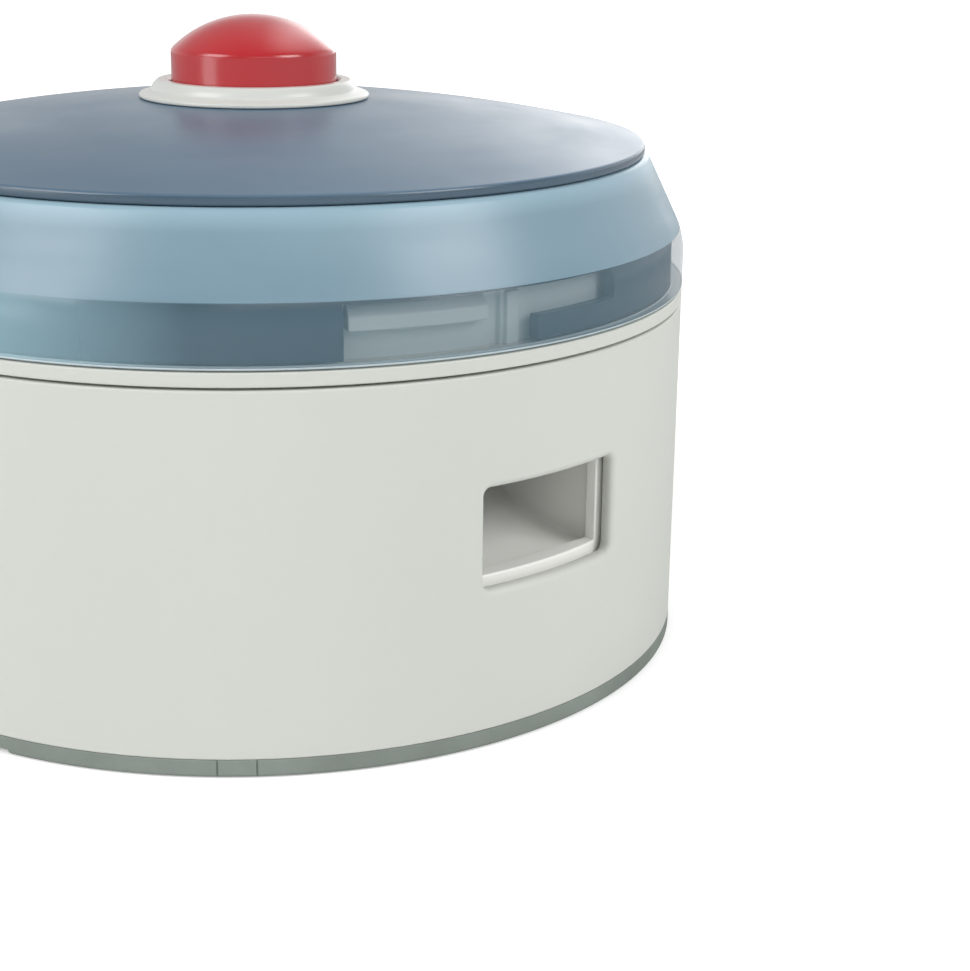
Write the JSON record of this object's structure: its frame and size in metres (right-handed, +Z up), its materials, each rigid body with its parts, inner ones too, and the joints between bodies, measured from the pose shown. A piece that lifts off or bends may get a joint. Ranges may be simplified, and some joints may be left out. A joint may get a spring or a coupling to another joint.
{
  "type": "push button treat dispenser",
  "caption": "Round countertop treat dispenser for dogs: a push button on the twist-off lid turns a portion wheel that drops treats into a side outlet.",
  "frame": {"origin": "centre of the foot ring's underside", "axes": "+Z up along the body's axis; the outlet window faces -Y"},
  "size_m": [0.18, 0.18, 0.129],
  "materials": {
    "shell": "fine satin moulded plastic, light warm grey",
    "base": "satin moulded plastic",
    "foot": "soft matt anti-slip rubber, grey green",
    "screws": "zinc plated steel",
    "chute": "smooth moulded plastic",
    "floor": "smooth moulded plastic",
    "bush": "natural acetal",
    "felt": "pressed felt",
    "silicone": "translucent silicone",
    "spring": "drawn steel wire",
    "rod": "natural acetal",
    "spindle": "twisted steel strip",
    "driver": "natural acetal",
    "nut": "cast brass",
    "wheel": "blue grey moulded plastic",
    "lid_top": "frosted translucent blue grey plastic",
    "bezel": "smooth moulded plastic",
    "lid_band": "frosted translucent blue grey plastic",
    "bayonet": "translucent blue plastic",
    "retainer": "translucent plastic",
    "button": "smooth red plastic",
    "stem": "moulded plastic"
  },
  "bodies": {
    "base": {"outer_shell": "shell", "base_plate": "base", "foot_ring": "foot", "base_screws": "screws", "outlet_chute": "chute", "chute_screws": "screws", "wheel_floor": "floor", "floor_screws": "screws", "drive_bush": "bush", "friction_ring": "felt", "hopper": "shell", "feed_wiper": "silicone", "spring_washer": "screws", "return_spring": "spring"},
    "wheel": {"portion_wheel": "wheel", "ratchet_ring": "driver"},
    "drive": {"ratchet_driver": "driver", "spiral_nut": "nut"},
    "rod": {"push_rod": "rod", "twist_spindle": "spindle", "spindle_pin": "spindle"},
    "lid": {"lid_plate": "lid_top", "lid_seal": "silicone", "button_bezel": "bezel", "button_cup": "bezel", "bezel_nut": "bezel"},
    "lock": {"lock_ring": "lid_band", "bayonet_ring": "bayonet", "retaining_ring": "retainer"},
    "button": {"button_cap": "button", "button_stem": "stem", "button_screws": "screws"}
  },
  "joints": [
    {"name": "wheel_turn", "type": "hinge", "parent": "base", "child": "wheel", "pos_m": [0, 0, 0.0562], "axis": [0, 0, 1], "range_deg": [0, 45]},
    {"name": "drive_turn", "type": "hinge", "parent": "base", "child": "drive", "pos_m": [0, 0, 0.0532], "axis": [0, 0, 1], "range_deg": [0, 45]},
    {"name": "rod_slide", "type": "slide", "parent": "base", "child": "rod", "axis": [0, 0, -1], "range_m": [0, 0.01], "deforming": ["return_spring"]},
    {"name": "lid_lift", "type": "slide", "parent": "base", "child": "lid", "axis": [0, 0, 1], "range_m": [0, 0.08]},
    {"name": "lock_twist", "type": "hinge", "parent": "lid", "child": "lock", "pos_m": [0, 0, 0.0759], "axis": [0, 0, 1], "range_deg": [-21, 0]},
    {"name": "button_press", "type": "slide", "parent": "lid", "child": "button", "axis": [0, 0, -1], "range_m": [0, 0.01], "stiffness_N_per_m": 300, "springref_m": -0.01}
  ],
  "couplings": [
    {"joint": "drive_turn", "follows": "wheel_turn", "ratio": 1},
    {"joint": "rod_slide", "follows": "wheel_turn", "m_per_rad": 0.012732},
    {"joint": "button_press", "follows": "wheel_turn", "m_per_rad": 0.012732}
  ]
}
